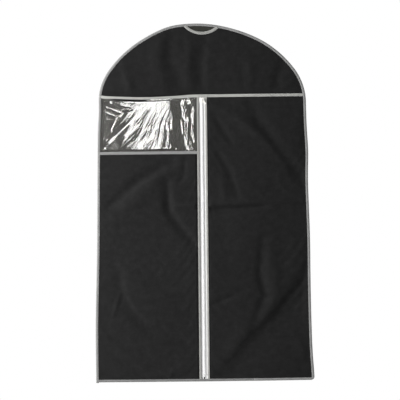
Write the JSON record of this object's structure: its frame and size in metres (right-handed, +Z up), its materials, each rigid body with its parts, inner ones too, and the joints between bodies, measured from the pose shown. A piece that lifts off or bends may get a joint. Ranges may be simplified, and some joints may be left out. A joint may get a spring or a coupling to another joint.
{
  "type": "garment bag",
  "caption": "Domed hanging suit cover in black non-woven fabric with grey bound edges, a clear shoulder window, a neck opening for a hanger and a full-length front zip.",
  "frame": {"origin": "middle of the top edge, above the neck opening, where the hanger's hook crosses the edge", "axes": "+Z up along the hanging bag, -Y out of the zipped front, +X to the right seen from the front"},
  "size_m": [0.6038, 0.0182, 0.9999],
  "materials": {
    "black_fabric": "matte",
    "grey_binding": "matte",
    "light_binding": "matte",
    "clear_film": "gloss",
    "white_zip_tape": "matte",
    "white_zip_coil": "satin",
    "stop_metal": "satin",
    "ivory_enamel": "satin"
  },
  "bodies": {
    "bag": {"back_panel": "black_fabric", "shoulder_yoke": "black_fabric", "perimeter_binding": "grey_binding", "hem_binding": "grey_binding", "neck_binding": "light_binding", "yoke_seam_binding": "light_binding", "bottom_stop": "stop_metal"},
    "left_flap": {"window_film": "clear_film", "window_hem_binding": "grey_binding", "left_front_panel": "black_fabric", "zip_binding_left": "light_binding", "zip_tape_left": "white_zip_tape", "zip_coil_left": "white_zip_coil", "top_stop_left": "stop_metal"},
    "right_flap": {"right_front_panel": "black_fabric", "zip_binding_right": "light_binding", "zip_tape_right": "white_zip_tape", "zip_coil_right": "white_zip_coil", "top_stop_right": "stop_metal"},
    "slider": {"slider_body": "ivory_enamel", "slider_bail": "ivory_enamel"},
    "pull": {"pull_tab": "ivory_enamel"}
  },
  "joints": [
    {"name": "slider_travel", "type": "slide", "parent": "bag", "child": "slider", "axis": [0, 0, -1], "range_m": [0, 0.754]},
    {"name": "pull_swing", "type": "hinge", "parent": "slider", "child": "pull", "pos_m": [0, -0.0054, -0.2158], "axis": [-0.7071, 0, -0.7071], "range_deg": [0, 150]},
    {"name": "left_flap_open", "type": "hinge", "parent": "bag", "child": "left_flap", "pos_m": [-0.2928, -0.0005, -1], "axis": [-0.0155, 0, -0.9999], "range_deg": [0, 25], "deforming": ["zip_coil_left", "zip_tape_left", "top_stop_left", "zip_binding_left"]},
    {"name": "right_flap_open", "type": "hinge", "parent": "bag", "child": "right_flap", "pos_m": [0.2928, -0.0005, -1], "axis": [-0.0155, 0, 0.9999], "range_deg": [0, 25], "deforming": ["zip_coil_right", "zip_tape_right", "top_stop_right", "zip_binding_right"]}
  ],
  "couplings": [
    {"joint": "left_flap_open", "follows": "slider_travel", "rad_per_m": 0.5785},
    {"joint": "right_flap_open", "follows": "slider_travel", "rad_per_m": 0.5785}
  ]
}
